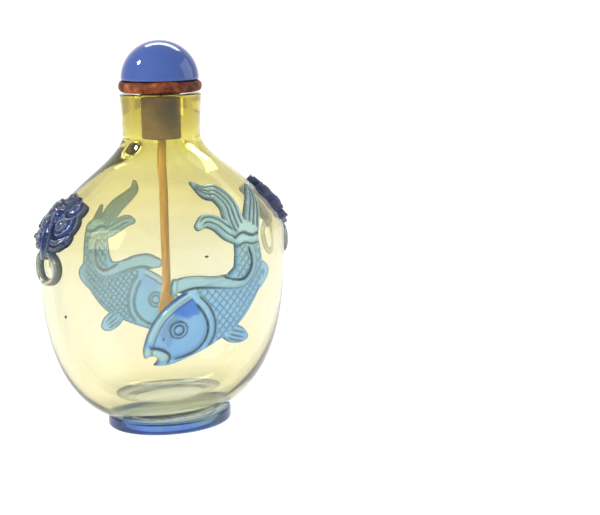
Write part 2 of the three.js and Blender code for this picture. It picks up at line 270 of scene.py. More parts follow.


# The closed skin of a carving. shape(u, z) gives gap, height and the tones: how much each point is
# cut, with painted shade (dark), ground into an edge (pale) or cased more deeply (bluer, with a painted view
# of the back carp on the front carp's head). Window is its lowest u and z, then its highest.
def carvedPiece(name, side, window, shape, material):
    step, embed = carving["grid"], carving["embed"]
    lowU, lowZ, highU, highZ = window
    us = np.arange(lowU, highU + step, step)
    zs = np.arange(lowZ, highZ + step, step)
    u, z = np.meshgrid(us, zs)
    gap, _, _ = shape(u, z)
    isIn = gap < 0
    cell = isIn[:-1, :-1] & isIn[1:, :-1] & isIn[:-1, 1:] & isIn[1:, 1:]
    # a cell that touches the rest by a corner only would pinch the skin, so it goes
    padded = np.pad(cell, 1)
    sides = padded[:-2, 1:-1].astype(int) + padded[2:, 1:-1] + padded[1:-1, :-2] + padded[1:-1, 2:]
    cell &= sides >= 2
    padded = np.pad(cell, 1)
    touching = np.zeros(u.shape, int)
    for dj in (0, 1):
        for di in (0, 1):
            touching += padded[dj:dj + u.shape[0], di:di + u.shape[1]]
    isRim = (touching > 0) & (touching < 4)
    # rim points move out to the outline
    slopeZ, slopeU = np.gradient(gap, step)
    length = np.maximum(np.hypot(slopeU, slopeZ), 0.5)
    push = np.where(isRim, np.clip(-gap, 0, 2 * step), 0)
    u = u + push * slopeU / length
    z = z + push * slopeZ / length
    gap, height, tones = shape(u, z)
    height = np.where(isRim, 0, np.maximum(height, 0.02))
    used = touching > 0
    index = np.full(u.shape, -1)
    index[used] = np.arange(used.sum())
    count = int(used.sum())
    top = onWall(side, u[used], z[used], height[used])
    bottom = onWall(side, u[used], z[used], np.full(count, -embed))
    rows, columns = np.nonzero(cell)
    quads = np.stack([index[rows, columns], index[rows, columns + 1],
                      index[rows + 1, columns + 1], index[rows + 1, columns]], 1)
    edges = np.concatenate([quads[:, [0, 1]], quads[:, [1, 2]], quads[:, [2, 3]], quads[:, [3, 0]]])
    known = set(map(tuple, edges.tolist()))
    rimEdges = [(a, b) for a, b in known if (b, a) not in known]
    faces = quads.tolist() + (quads[:, ::-1] + count).tolist()
    faces += [(b, a, a + count, b + count) for a, b in rimEdges]
    # a line of painted shade round the rim, for the relief's sides in shade
    tones["cut"] = np.maximum(tones["cut"], furrow(gap, carving["rimWidth"]))
    # the tones also show from behind, through the glass
    attributes = {
        title: np.concatenate([values[used], carving["seenThrough"] * values[used]])
        for title, values in tones.items()
    }
    piece = addPiece(name, np.concatenate([top, bottom]), faces, material, 55, attributes)
    piece.visible_shadow = False    # light from outside reaches the pieces inside the bottle


# Lead glass, melted and blown, ground and polished: pale yellow, deeper in the thick neck and base,
# and very slightly milky
yellowGlass = {
    "tones": [[1.2, "#A0B0AC"], [3.2, "#A8A878"], [6, "#E2DAAC"], [18, "#E8E2C6"], [30, "#E0DDC0"],
              [38, "#D8D09C"], [44, "#D4C98A"], [50, "#E2D880"], [54, "#D2C656"], [60, "#BCA830"]],
    "streak": "#D8C880", "streakSize": 14, "inside": "#FBFBF4", "ior": 1.5, "roughness": 0.0, "clear": 0.986,
    "streakShare": 0.35,
}


# A tone that changes with the level: tones are [level in mm, colour], and drift moves the level in metres
def toneByLevel(tree, place, tones, drift=None):
    parts = addNode(tree, "ShaderNodeSeparateXYZ", links={"Vector": place.outputs["Object"]})
    level = parts.outputs["Z"]
    if drift:
        level = addNode(tree, "ShaderNodeMath", {"operation": "ADD"},
                        {0: level, 1: drift.outputs["Result"]}).outputs["Value"]
    lowest, highest = tones[0][0] * mm, tones[-1][0] * mm
    climb = addNode(tree, "ShaderNodeMapRange", {"From Min": lowest, "From Max": highest}, {"Value": level})
    ramp = addNode(tree, "ShaderNodeValToRGB", links={"Fac": climb.outputs["Result"]})
    fillRamp(ramp, [[(z * mm - lowest) / (highest - lowest), hue] for z, hue in tones])
    return ramp


def makeYellowGlass():
    look = yellowGlass
    material, tree = newMaterial("PolishedYellowGlass")
    place = addNode(tree, "ShaderNodeTexCoord")
    tone = toneByLevel(tree, place, look["tones"])
    veil = addNode(tree, "ShaderNodeTexNoise", {"Scale": 1000 / look["streakSize"], "Detail": 2.0},
                   {"Vector": place.outputs["Object"]})
    faint = addNode(tree, "ShaderNodeMapRange", {
        "From Min": 0.45, "From Max": 0.8, "To Max": look["streakShare"]}, {"Value": veil.outputs["Fac"]})
    veiled = addNode(tree, "ShaderNodeMix", {"data_type": "RGBA", 7: hexColour(look["streak"])},
                     {0: faint.outputs["Result"], 6: tone.outputs["Color"]})
    # the outer skin carries the whole tint, so the wall looks as deep at the limb as in the middle
    within = addNode(tree, "ShaderNodeAttribute", {"attribute_name": "inside"})
    skin = addNode(tree, "ShaderNodeMix", {"data_type": "RGBA", 7: hexColour(look["inside"])},
                   {0: within.outputs["Fac"], 6: veiled.outputs[2]})
    shader = addNode(tree, "ShaderNodeBsdfPrincipled", {
        "Roughness": look["roughness"], "IOR": look["ior"], "Transmission Weight": look["clear"],
    }, {"Base Color": skin.outputs[2]})
    addNode(tree, "ShaderNodeOutputMaterial", links={"Surface": shader.outputs["BSDF"]})
    return material


# Blue casing glass, slightly milky, carved on the wheel and polished. Cuts and the relief's sides get painted
# shade, darker than the plain face, ground edges are paler, and thick places a deeper blue, with a painted
# view of the back carp on the front carp's head. The foot has its colour in its outer skin alone.
casingGlass = {
    "carp": {
        "tones": [[18, "#88BAEC"], [26, "#98C8F0"], [34, "#A4CEE4"], [38, "#B2D8E6"], [43, "#BCDCE4"]],
        "deep": "#4880DC", "edge": "#A8CAD6", "cut": "#24404E",
        "clear": 0.72, "absorb": "#C4E4FA", "density": 60,
    },
    # the same casing glass as the front carp's, painted brighter and bluer to stand in for light that the
    # yellow walls hold back
    "backCarp": {
        "tones": [[16, "#84C8FF"], [30, "#84C8FF"], [42, "#A8CCD4"]],
        "deep": "#78B4FC", "edge": "#A8D0F8", "cut": "#2A4C62",
        "clear": 0.68, "absorb": "#C4E4FA", "density": 60,
    },
    "mask": {
        "tones": [[31, "#DCE2C8"], [35, "#C0CCC0"], [37, "#3E66C0"]],
        "deep": "#2044B8", "edge": "#D4DCD0", "cut": "#1C2C50",
        "clear": 0.9, "absorb": "#4A78E0", "density": 170,
    },
    "foot": {
        "tones": [[0, "#1C40B0"], [1.3, "#2450A8"], [2.3, "#3A5A78"]],
        "edge": "#E4ECDC",
        "clear": 0.97, "absorb": "#5898C0", "density": 90,
    },
}


def makeCasingGlass(kind, name):
    look = casingGlass[kind]
    material, tree = newMaterial(name)
    place = addNode(tree, "ShaderNodeTexCoord")
    # faint clouds about 4 mm across shift the tone up and down by as much as 6 mm
    cloud = addNode(tree, "ShaderNodeTexNoise", {"Scale": 250.0, "Detail": 3.0},
                    {"Vector": place.outputs["Object"]})
    drift = addNode(tree, "ShaderNodeMapRange", {"To Min": -6 * mm, "To Max": 6 * mm},
                    {"Value": cloud.outputs["Fac"]})
    tone = toneByLevel(tree, place, look["tones"], drift)
    shown = tone.outputs["Color"]
    # the cut tone is painted shade in the cuts and on the relief's sides
    for title in [t for t in ("deep", "edge", "cut") if t in look]:
        share = addNode(tree, "ShaderNodeAttribute", {"attribute_name": title})
        mixed = addNode(tree, "ShaderNodeMix", {"data_type": "RGBA", 7: hexColour(look[title])},
                        {0: share.outputs["Fac"], 6: shown})
        shown = mixed.outputs[2]
    shader = addNode(tree, "ShaderNodeBsdfPrincipled", {
        "Roughness": 0.08, "IOR": 1.5, "Transmission Weight": look["clear"],
    }, {"Base Color": shown})
    volume = addNode(tree, "ShaderNodeVolumeAbsorption", {
        "Color": hexColour(look["absorb"]), "Density": look["density"]})
    addNode(tree, "ShaderNodeOutputMaterial", links={
        "Surface": shader.outputs["BSDF"], "Volume": volume.outputs["Volume"]})
    return material


# The yellow body, from its underside up the wall, over the lip and down the cavity
def makeBody():
    b = bottle
    lip, lipTop = b["lipRound"], b["neckRim"] - b["lipRound"]
    turn = np.linspace(0, np.pi / 2, b["lipSteps"])
    outer = np.concatenate([
        [b["bottomLevel"]], bowlLevels(b["bowlReach"], b["bottomLevel"], b["bowlRows"]),
        np.linspace(b["bellyLevel"], lipTop, b["shoulderRows"]),
    ])
    inner = np.concatenate([
        bowlLevels(b["bellyLevel"] - b["floorLevel"], b["floorLevel"] + 0.01, b["cavityBowlRows"]),
        np.linspace(b["bellyLevel"], lipTop - 0.3, b["cavityShoulderRows"]),
    ])[::-1]
    loops = list(zip(*outside(outer), outer))
    loops += [circle(b["rimRadius"] - lip * (1 - math.cos(a)), b["neckRim"] - lip * (1 - math.sin(a)))
              for a in turn[1:]]
    loops += [circle(b["boreRadius"] + lip * (1 - math.sin(a)), b["neckRim"] - lip * (1 - math.cos(a)))
              for a in turn]
    outerCount = len(loops) * b["sides"]
    loops += list(zip(*inside(inner), inner))
    points, faces = loftOvals(loops, b["sides"])
    within = np.arange(len(points)) >= outerCount
    within[-2] = False    # the middle of the underside
    body = addPiece("bottle_body", points, faces, makeYellowGlass(),
                    attributes={"inside": within})
    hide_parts("bottle")
    body.visible_shadow = False


# The carp of the front, drawn on the wall in mm: u across to the right, z up, from the middle of the foot.
# A stroke's knots are [u, z, half width, height], the patch behind the brow, place and half sizes, is a
# painted view of the back carp's head through the glass, in deep blue, and a cut as deep as fullShade shows
# fully dark in painted shade.
carp = {
    "body": [[-11.2, 16.5, 1, 1], [-9.3, 18.2, 3.4, 1.05], [-6.2, 21.1, 5.3, 1.15], [-2.3, 23.2, 5.8, 1.2],
             [1.7, 24.6, 5.3, 1.2], [5.2, 26.6, 4.3, 1.15], [7.8, 29.5, 3.7, 1.05], [8.1, 33, 3.2, 0.95],
             [7.7, 36.6, 2.9, 0.85]],
    "finEnd": [[-7.4, 30.1, 0.6, 0.85], [-7.5, 28.8, 0.6, 0.85], [-7.7, 28, 0.5, 0.85]],
    "backFin": [[-6.9, 29.3, 1.25, 0.8], [-5.6, 29.4, 1.5, 0.85], [-3, 29.4, 1.4, 0.85],
                [0.5, 29.1, 1.2, 0.85], [3.2, 29.6, 0.8, 0.85]],
    "bellyFin": [[11.2, 31.4, 0.6, 0.6], [12.6, 29.6, 1.1, 0.65], [11.1, 27.2, 0.8, 0.6]],
    "pelvicFin": [[2.4, 20, 1.2, 0.85], [4.4, 19.1, 1.75, 0.9], [6.1, 18.5, 1.6, 0.85], [7.3, 18.1, 1, 0.75]],
    "longLobe": [[6.5, 36.4, 1.9, 0.9], [5.6, 39.4, 2.2, 1], [5.3, 42.2, 1.9, 1], [3.5, 44.4, 1.5, 0.95],
                 [1.3, 44.8, 1.1, 0.9], [-0.5, 46.5, 0.35, 0.75]],
    "lowLobe": [[6.3, 36.6, 1.6, 0.85], [3.6, 37.9, 1.6, 0.9], [1.6, 39.5, 1.4, 0.9], [-0.4, 40.1, 1.15, 0.9],
                [-2.1, 39.3, 0.7, 0.8]],
    "sideLobe": [[9.1, 36.6, 1.6, 0.85], [9.9, 39, 1.9, 0.9], [11.8, 42, 1.4, 0.9], [12.9, 44.5, 0.5, 0.8]],
    "eye": [-7.1, 21.8], "eyeSize": [1.75, 1.4], "eyeRise": 0.22, "eyeRings": [[0.85, 0.22], [1.5, 0.2]],
    "nostril": [-9.6, 20.3], "mouth": [-11.2, 16.1, 0.95], "backHeadView": [-5.4, 26.2, 3.2, 2.6],
    "headLow": 0.85, "headRise": 0.62, "bevel": 1.3, "cheekRise": 0.15, "headTop": 28.4, "cheekTop": 28,
    "scalePitch": 1.12, "scaleTilts": (47, 133), "scaleCut": 0.16, "scaleShade": 0.75, "grooveWidth": 0.13,
    "rays": {"longLobe": (-0.45, 0.05, 0.5), "lowLobe": (-0.4, 0.3), "sideLobe": (-0.5, 0, 0.5),
             "pelvicFin": (-0.55, -0.1, 0.4)},
    "rayCut": 0.2, "rayWidth": 0.15, "lineWidth": 0.22, "fullShade": 0.17,
}
carpStrokes = ("body", "backFin", "finEnd", "bellyFin", "pelvicFin", "longLobe", "lowLobe", "sideLobe")
# The carp's carved lines, [u, z, depth]
carpLines = {
    "gillInner": [[-3.8, 26, 0.3], [-2.4, 24, 0.35], [-1.6, 22, 0.38], [-1.8, 20, 0.38], [-3, 18.2, 0.35],
                  [-5, 17, 0.3], [-7.7, 16.4, 0.2]],
    "gillOuter": [[-3.2, 27.4, 0.2], [-1.2, 25, 0.25], [-0.1, 22.4, 0.28], [-0.2, 19.8, 0.28],
                  [-1.4, 17.8, 0.2]],
    "lip": [[-11.9, 18.8, 0.2], [-10.4, 18.6, 0.28], [-8.9, 17.8, 0.28], [-8.4, 16.8, 0.25],
            [-8.7, 15.5, 0.2]],
    "backLine": [[-7.7, 27.9, 0.2], [-4.4, 28.75, 0.24], [-0.5, 28.5, 0.18], [3, 27.9, 0.12],
                 [6.2, 27.9, 0.1], [8.7, 29.8, 0.1], [9.4, 32.6, 0.1], [8.9, 35.6, 0.1]],
    "ridge": [[1.9, 30.1, 0.2], [4.3, 29.3, 0.3], [6.4, 29.3, 0.42], [8, 30.8, 0.42], [8.3, 32.7, 0.38],
              [7.6, 34.9, 0.25]],
    "tailUpper": [[4.3, 36.5, 0.22], [6.4, 37.3, 0.25], [8.8, 36.6, 0.25], [10.9, 37, 0.22]],
    "tailLower": [[4.6, 35, 0.15], [6.6, 35.6, 0.18], [8.8, 35.2, 0.18], [11.2, 35.5, 0.15]],
}
# The carp of the back is smaller and lower, with a longer tail of its own
backCarp = {
    "shrink": 0.87, "drop": 2, "scaleShade": 1.15, "finEnd": [[-7.2, 27.6, 0.6, 0.8], [-7.3, 26.8, 0.6, 0.8]],
    "longLobe": [[5.9, 34, 1.7, 0.85], [3.8, 36.8, 1.8, 1], [2.2, 39.2, 1.9, 1], [0.3, 41.4, 1.5, 0.9],
                 [-0.7, 43.2, 1, 0.9], [-0.3, 45.4, 0.4, 0.8]],
    "lowLobe": [[5.4, 34, 1.5, 0.8], [3.4, 34.2, 1.6, 0.9], [1.2, 35, 1.5, 0.9], [-0.6, 35.6, 1.3, 0.9],
                [-2, 35.3, 0.7, 0.8]],
    "sideLobe": [[7.2, 34, 1.3, 0.8], [6.8, 36, 1.1, 0.9], [6.4, 38.2, 0.8, 0.9], [6.1, 40.2, 0.3, 0.8]],
    "backFin": [[-7.2, 27.2, 0.9, 0.8], [-5.2, 27.4, 1.3, 0.85], [-2.5, 27.5, 1.3, 0.85],
                [0.5, 27.3, 1.3, 0.85], [3.2, 27.6, 1.1, 0.85], [4.8, 28.9, 1, 0.85]],
}


# Depth of the diamond scales, on the flank and on the strip left of the ridge
def scaleCuts(u, z, body, lines, shrink):
    ridge = lines["ridge"]
    isFlank = smoothStep(0.15, 0.4, -lines["backLine"]["across"])
    isFlank *= smoothStep(0.1, 0.4, lines["gillOuter"]["across"])
    isStrip = smoothStep(0.35, 0.6, ridge["across"]) * (ridge["along"] > 2.6)
    scaly = np.maximum(isFlank, isStrip) * smoothStep(0.25, 0.6, -body["gap"])
    scaly *= smoothStep(0.1, 0.4, -lines["tailLower"]["across"]) * (body["along"] > 6 * shrink)
    pitch = carp["scalePitch"] * shrink
    diamonds = 0
    for tilt in carp["scaleTilts"]:
        phase = (u * math.sin(math.radians(tilt)) - z * math.cos(math.radians(tilt))) / pitch
        distance = np.abs(phase - np.round(phase)) * pitch
        diamonds = np.maximum(diamonds, furrow(distance, carp["grooveWidth"]))
    return diamonds * scaly * carp["scaleCut"]


# Depth of the rays along the fins and the tail lobes, each at its share of the half width
def rayCuts(fields):
    cut = 0
    for name, shares in carp["rays"].items():
        field = fields[name]
        start = smoothStep(0.6, 2, field["along"])
        ending = smoothStep(0.2, 1.4, field["length"] - field["along"])
        isOwn = (field["gap"] < -0.15) * (fields["body"]["gap"] > -0.5)
        halfWidth = np.maximum(np.abs(field["across"]) - field["gap"], 0.3)
        for share in shares:
            ray = furrow(field["across"] - share * halfWidth, carp["rayWidth"])
            cut = np.maximum(cut, carp["rayCut"] * ray * start * ending * isOwn)
    return cut


# Depth of the carved lines, which fade at their ends
def lineCuts(lines):
    cut = 0
    for field in lines.values():
        start = smoothStep(-0.3, 0.5, field["along"])
        ending = smoothStep(-0.3, 0.5, field["length"] - field["along"])
        groove = furrow(field["across"], carp["lineWidth"]) * (field["reach"] < 1.2)
        cut = np.maximum(cut, field["height"] * groove * start * ending)
    return cut


# own is what a carp has apart from the front one: its size, how far it hangs lower, and its own strokes
def carpShape(own):
    shrink, drop = own.get("shrink", 1), own.get("drop", 0)
    scaleShade = own.get("scaleShade", carp["scaleShade"])

    def placed(knots):
        return [[u * shrink, z - drop, *rest] for u, z, *rest in knots]

    def shape(u, z):
        fields = {name: strokeField(own.get(name) or placed(carp[name]), u, z) for name in carpStrokes}
        lines = {name: strokeField([[*k[:2], 0, k[2]] for k in placed(knots)], u, z)
                 for name, knots in carpLines.items()}
        body, backLine, ridge = fields["body"], lines["backLine"], lines["ridge"]
        depth = -body["gap"]
        level = z + drop

        def reach(spot):
            return np.hypot(u - spot[0] * shrink, z - spot[1] + drop)

        gap = np.min([field["gap"] for field in fields.values()], axis=0)
        gap = np.maximum(gap, carp["mouth"][2] - reach(carp["mouth"]))

        # the flank, a little crowned, and the fins and tail lobes lower than it
        flank = body["height"] * roundOver(body["gap"], 0.6) * (1 - 0.1 * body["share"] ** 2)
        fins = [fields[name]["height"] * roundOver(fields[name]["gap"], 0.45) for name in carpStrokes[1:]]
        height = np.maximum(np.max(fins, axis=0), flank)

        # the head stands higher, with a wide bevel along its outline, and the cheek a little above the flank
        head = carp["headLow"] + carp["headRise"] * np.clip(depth / carp["bevel"], 0, 1)
        head *= np.sqrt(np.clip(depth / 0.35, 0, 1))
        isHead = smoothStep(-0.05, 0.2, -lines["gillInner"]["across"]) * (level < carp["headTop"]) * (u < 0)
        cheek = smoothStep(-0.05, 0.2, -lines["gillOuter"]["across"]) * (level < carp["cheekTop"]) * (u < 1)
        height = np.maximum(height, height + (head - height) * isHead)
        height += carp["cheekRise"] * cheek * (1 - isHead) * (depth > 0.6)

        scales = scaleCuts(u, z, body, lines, shrink)
        cut = np.maximum(rayCuts(fields), lineCuts(lines))

        # the eye, rings around a raised pupil, and the nostril
        eye = reach(carp["eye"])
        height += carp["eyeRise"] * smoothStep(*carp["eyeSize"], eye)
        for radius, deepness in carp["eyeRings"]:
            cut = np.maximum(cut, deepness * furrow(eye - radius, 0.16))
        cut = np.maximum(cut, 0.16 * furrow(reach(carp["nostril"]), 0.28))

        # pale ground edges: the bevel of the head, the lips, the fin, and the band from back line to ridge
        bevel = carp["bevel"]
        isBevel = smoothStep(0.2, 0.35, depth) * smoothStep(bevel, bevel - 0.15, depth) * isHead
        isBevel *= smoothStep(-0.3, 0.3, level - 17.5 + 0.9 * (u + 9))
        lips = isHead * smoothStep(0.05, 0.2, -lines["lip"]["across"]) * (u < -7.5 * shrink)
        band = smoothStep(0.1, 0.3, backLine["across"]) * smoothStep(0.1, -0.2, ridge["across"])
        band *= (depth > 0.1) * smoothStep(0.2, 0.4, -lines["tailLower"]["across"]) * (isHead < 0.5)
        isBackFin = np.minimum(fields["backFin"]["gap"], fields["finEnd"]["gap"]) < 0
        pale = np.maximum.reduce([isBevel, lips, 0.7 * band, 0.8 * isBackFin * (depth < 0)])
        # a thin line of painted shade inside the bevel
        bevelLine = furrow(depth - bevel, 0.12) * isHead * (isBevel + smoothStep(1.1, 1.2, depth))
        cut = np.maximum(cut, 0.14 * bevelLine)

        # the head is a little bluer where its casing is thicker, and an uneven patch behind the brow is deep
        # blue:
        # a painted view of the back carp's head seen through the glass
        backHeadViewU, backHeadViewZ, backHeadViewWide, backHeadViewTall = carp["backHeadView"]
        backHeadView = np.hypot((u - backHeadViewU * shrink) / backHeadViewWide, (level - backHeadViewZ) / backHeadViewTall)
        backHeadView += 0.08 * np.sin(3.1 * u + 1.7 * z) + 0.05 * np.sin(7 * u - 5 * z)
        deep = isHead * (1 - pale) * (0.16 + 0.84 * smoothStep(1, 0.86, backHeadView))

        carved = np.clip(height - np.maximum(cut, scales), carving["least"], None)
        carved = carved * roundOver(gap, carving["edge"])
        # the tone of painted shade: full where a cut or scale line is fullShade deep
        shade = np.clip(np.maximum(cut, scaleShade * scales) / carp["fullShade"], 0, 1)
        return gap, carved, {"cut": shade, "edge": pale, "deep": deep}

    return shape


# A lion mask and the ring that hangs from its mouth, drawn on the side of the bottle in mm like the carp.
# A disc is [u, z, radius, height of its dome, what is carved on it], and later discs lie on top.
mask = {
    "forward": 1.2, "slab": 1.35, "faceLevel": (35.6, 36.4), "edge": 0.2, "fullShade": 0.35,
    "rimShelf": 0.3, "paleRim": 0.16, "darkRim": 0.45, "rimWidth": 0.13, "spiralPitch": 0.62,
    "discs": [
        [3.3, 37.8, 1.5, 1.15, "rings"], [-3.3, 37.8, 1.5, 1.15, "rings"],
        [2.5, 39.6, 2.3, 1.35, "eye"], [-2.5, 39.6, 2.3, 1.35, "eye"],
        [2.6, 42, 1.55, 1.55, "curl"], [-2.6, 42, 1.55, 1.55, "curl"],
        [0, 43.3, 1.3, 1.55, "curl"], [0, 41.1, 1.35, 1.85, "brow"],
    ],
    "eye": {"out": 0.35, "up": 0.1, "radius": 1.15, "low": 1.2, "rise": 0.6, "socket": 1.22,
            "rings": (0.5, 0.85, 1.5)},
    "nose": [[0, 39.3, 0.5, 1.7], [0, 38.4, 0.8, 1.8], [0, 37.2, 1.35, 1.8], [0, 36.1, 1.15, 1.6],
             [0, 35, 0.95, 1.4]],
    "nostrils": {"across": 0.55, "level": 36.9, "half": 0.55, "width": 0.2, "depth": 0.6},
    "whiskers": [[[1, 37.3, 0.5, 1.5], [2.7, 37, 0.55, 1.5], [4.4, 38.1, 0.4, 1.2]],
                 [[0.9, 36.4, 0.42, 1.3], [2.4, 36, 0.45, 1.3], [3.9, 36.8, 0.3, 1]]],
    "ring": {"level": 32.7, "radius": 2.7, "halfWidth": 0.68, "height": 1.25},
}


# Height, cut and pale lines of a disc, for points du and dz from its middle. The cut is also painted dark, as
# painted shade
def discRelief(discU, radius, tall, kind, du, dz):
    r = np.hypot(du, dz)
    shelf = radius - mask["rimShelf"]
    dome = tall - 0.55 * np.clip(r / shelf, 0, 1) ** 3
    pale = furrow(r - radius + mask["paleRim"], mask["rimWidth"])
    # painted shade in a groove just inside the rim
    dark = 0.3 * furrow(r - radius + mask["darkRim"], mask["rimWidth"])
    if kind == "curl":    # winds into a spiral
        turn = np.arctan2(dz, du * (1 if discU >= 0 else -1)) / (2 * np.pi)
        arm = r / mask["spiralPitch"] - turn
        distance = np.abs(arm - np.round(arm)) * mask["spiralPitch"]
        pale = np.maximum(pale, furrow(distance, 0.1) * (r < radius - 0.5) * (r > 0.3))
    if kind == "eye":    # a round eye under the brow, in a ringed socket
        own = mask["eye"]
        eye = np.hypot(du + own["out"] * np.sign(discU), dz - own["up"])
        ball = own["low"] + own["rise"] * np.sqrt(np.clip(1 - (eye / own["radius"]) ** 2, 0, 1))
        dome = np.where(eye < own["radius"], ball, dome)
        # painted shade in the socket's groove
        dark = np.maximum(dark, 0.3 * furrow(eye - own["socket"], 0.12))
        for at in own["rings"]:
            pale = np.maximum(pale, 0.8 * furrow(eye - at, 0.1))
    if kind == "rings":
        pale = np.maximum(pale, furrow(r - radius * 0.5, 0.1))
    return np.where(r < shelf, dome, mask["slab"] + 0.1), dark, pale


# forward moves the mask along the side, towards the front of the bottle
def maskShape(forward):
    def shape(u, z):
        u = u - forward
        gap, height, cut, edge = 1e9, mask["slab"], 0, 0
        for discU, discZ, radius, tall, kind in mask["discs"]:
            du, dz = u - discU, z - discZ
            away = np.hypot(du, dz) - radius
            gap = np.minimum(gap, away)
            relief = zip(discRelief(discU, radius, tall, kind, du, dz), (height, cut, edge))
            height, cut, edge = (np.where(away < 0.05, new, old) for new, old in relief)
        for hand in (1, -1):
            for knots in mask["whiskers"]:
                field = strokeField([[k[0] * hand, *k[1:]] for k in knots], u, z)
                gap = np.minimum(gap, field["gap"])
                isOn = field["gap"] < 0
                height = np.where(isOn, field["height"] - 0.25 * field["share"] ** 2, height)
                edge = np.where(isOn, furrow(np.abs(field["across"]) - 0.2, 0.1), edge)
                cut = np.where(isOn, 0.2 * furrow(field["across"], 0.1), cut)
                # painted shade round each whisker
                cut = np.maximum(cut, 0.3 * furrow(field["gap"], 0.1))
        nose = strokeField(mask["nose"], u, z)
        gap = np.minimum(gap, nose["gap"])
        isOn = nose["gap"] < 0
        height = np.where(isOn, nose["height"] - 0.3 * nose["share"] ** 2, height)
        edge = np.where(isOn, 0.8 * furrow(nose["gap"] + 0.2, 0.12), edge)
        # painted shade round the nose
        cut = np.maximum(np.where(isOn, 0, cut), 0.35 * furrow(nose["gap"], 0.12))
        slot = mask["nostrils"]
        above = np.maximum(np.abs(z - slot["level"]) - slot["half"], 0)
        for hand in (1, -1):
            reach = np.hypot(u - hand * slot["across"], above)
            cut = np.maximum(cut, slot["depth"] * furrow(reach, slot["width"]))

        # the ring that hangs from the mouth, round in section
        ring = mask["ring"]
        across = np.hypot(u, z - ring["level"]) - ring["radius"]
        ringGap = np.abs(across) - ring["halfWidth"]
        isRing = (gap > 0) & (ringGap < 0)
        gap = np.minimum(gap, ringGap)
        bow = ring["height"] * np.sqrt(np.clip(1 - (across / ring["halfWidth"]) ** 2, 0, 1))
        height = np.where(isRing, bow, height)
        cut = np.where(isRing, 0, cut)
        edge = np.where(isRing, 0.7 * furrow(across, 0.25), edge)

        carved = np.clip(height - cut, carving["least"], None)
        carved = carved * np.where(isRing, 1, roundOver(gap, mask["edge"]))
        # the tone of painted shade in the cuts and round the outlines
        shade = np.clip(cut / mask["fullShade"], 0, 1)
        # the ring and the loop above it are paler than the face
        deep = 0.8 * smoothStep(*mask["faceLevel"], z) * (1 - edge)
        return gap, carved, {"cut": shade, "edge": edge * (1 - shade), "deep": deep}

    return shape


# The foot: casing glass left standing as an oval ring under the bowl, with a recess inside it. Its top
# follows the bowl, seat mm inside the glass, and ends at the oval called middle.
foot = {
    "halfWidth": 12, "halfDepth": 10.6, "height": 2.4, "edge": 0.5, "rimWidth": 2.6, "recess": 1.2,
    "seat": 0.15, "bowlLevels": (2.4, 2, 1.7, 1.45), "middle": (7.7, 5.2), "sides": 160,
}


def makeFoot():
    f = foot
    turn = np.linspace(0, np.pi / 2, 6)
    loops = []

    def loop(inset, level):
        loops.append((f["halfWidth"] - inset, f["halfDepth"] - inset, level))

    for a in turn:
        loop(f["edge"] * (1 - math.sin(a)), f["edge"] * (1 - math.cos(a)))
    for a in turn:
        loop(f["edge"] * (1 - math.cos(a)), f["height"] - f["edge"] * (1 - math.sin(a)))
    widest = f["halfWidth"] - f["edge"] - 0.1
    for level in f["bowlLevels"]:
        wide, deep = outside(level)
        loops.append((min(wide - f["seat"], widest), deep - f["seat"], level - 0.02))
    loops.append((*f["middle"], f["recess"]))
    for inset, level in ((0, f["recess"]), (0.15, f["recess"] / 2), (0.4, 0.1), (0.5, 0)):
        loop(f["rimWidth"] - inset, level)
    points, faces = loftOvals(loops, f["sides"], isRing=True)
    # the colour lies in the outer skin, so the ring is paler seen from above and from inside
    out = np.hypot(points[:, 0] / f["halfWidth"], points[:, 1] / f["halfDepth"])
    glass = makeCasingGlass("foot", "BlueFootGlass")
    addPiece("foot_ring", points, faces, glass, 50, {"edge": smoothStep(0.97, 0.9, out)})


# A surface coloured by one noise. bump is its strength and its depth in mm, stretch makes streaks, and
# a soft round spot of another colour can lie on it.
def makeSurface(name, look):
    material, tree = newMaterial(name)
    place = spread = addNode(tree, "ShaderNodeTexCoord").outputs["Object"]
    if "stretch" in look:
        stretch = addNode(tree, "ShaderNodeMapping", {"Scale": look["stretch"]}, {"Vector": place})
        spread = stretch.outputs["Vector"]
    grain = addNode(tree, "ShaderNodeTexNoise", look["noise"], {"Vector": spread})
    ramp = addNode(tree, "ShaderNodeValToRGB", links={"Fac": grain.outputs["Fac"]})
    fillRamp(ramp, look["tones"])
    shown = ramp.outputs["Color"]
    if "patch" in look:
        patch = look["patch"]
        shift = [-c / patch["radius"] for c in patch["middle"]]
        move = addNode(tree, "ShaderNodeMapping", {"Location": shift, "Scale": [1000 / patch["radius"]] * 3},
                       {"Vector": place})
        ball = addNode(tree, "ShaderNodeTexGradient", {"gradient_type": "SPHERICAL"},
                       {"Vector": move.outputs["Vector"]})
        soft = addNode(tree, "ShaderNodeMapRange", {"From Max": 0.6, "To Max": patch["share"]},
                       {"Value": ball.outputs["Fac"]})
        withPatch = addNode(tree, "ShaderNodeMix", {"data_type": "RGBA", 7: hexColour(patch["colour"])},
                          {0: soft.outputs["Result"], 6: shown})
        shown = withPatch.outputs[2]
    links = {"Base Color": shown}
    if "bump" in look:
        strength, depth = look["bump"]
        bump = addNode(tree, "ShaderNodeBump", {"Strength": strength, "Distance": depth * mm},
                       {"Height": grain.outputs["Fac"]})
        links["Normal"] = bump.outputs["Normal"]
    shader = addNode(tree, "ShaderNodeBsdfPrincipled", look["finish"], links)
    addNode(tree, "ShaderNodeOutputMaterial", links={"Surface": shader.outputs["BSDF"]})
    return material


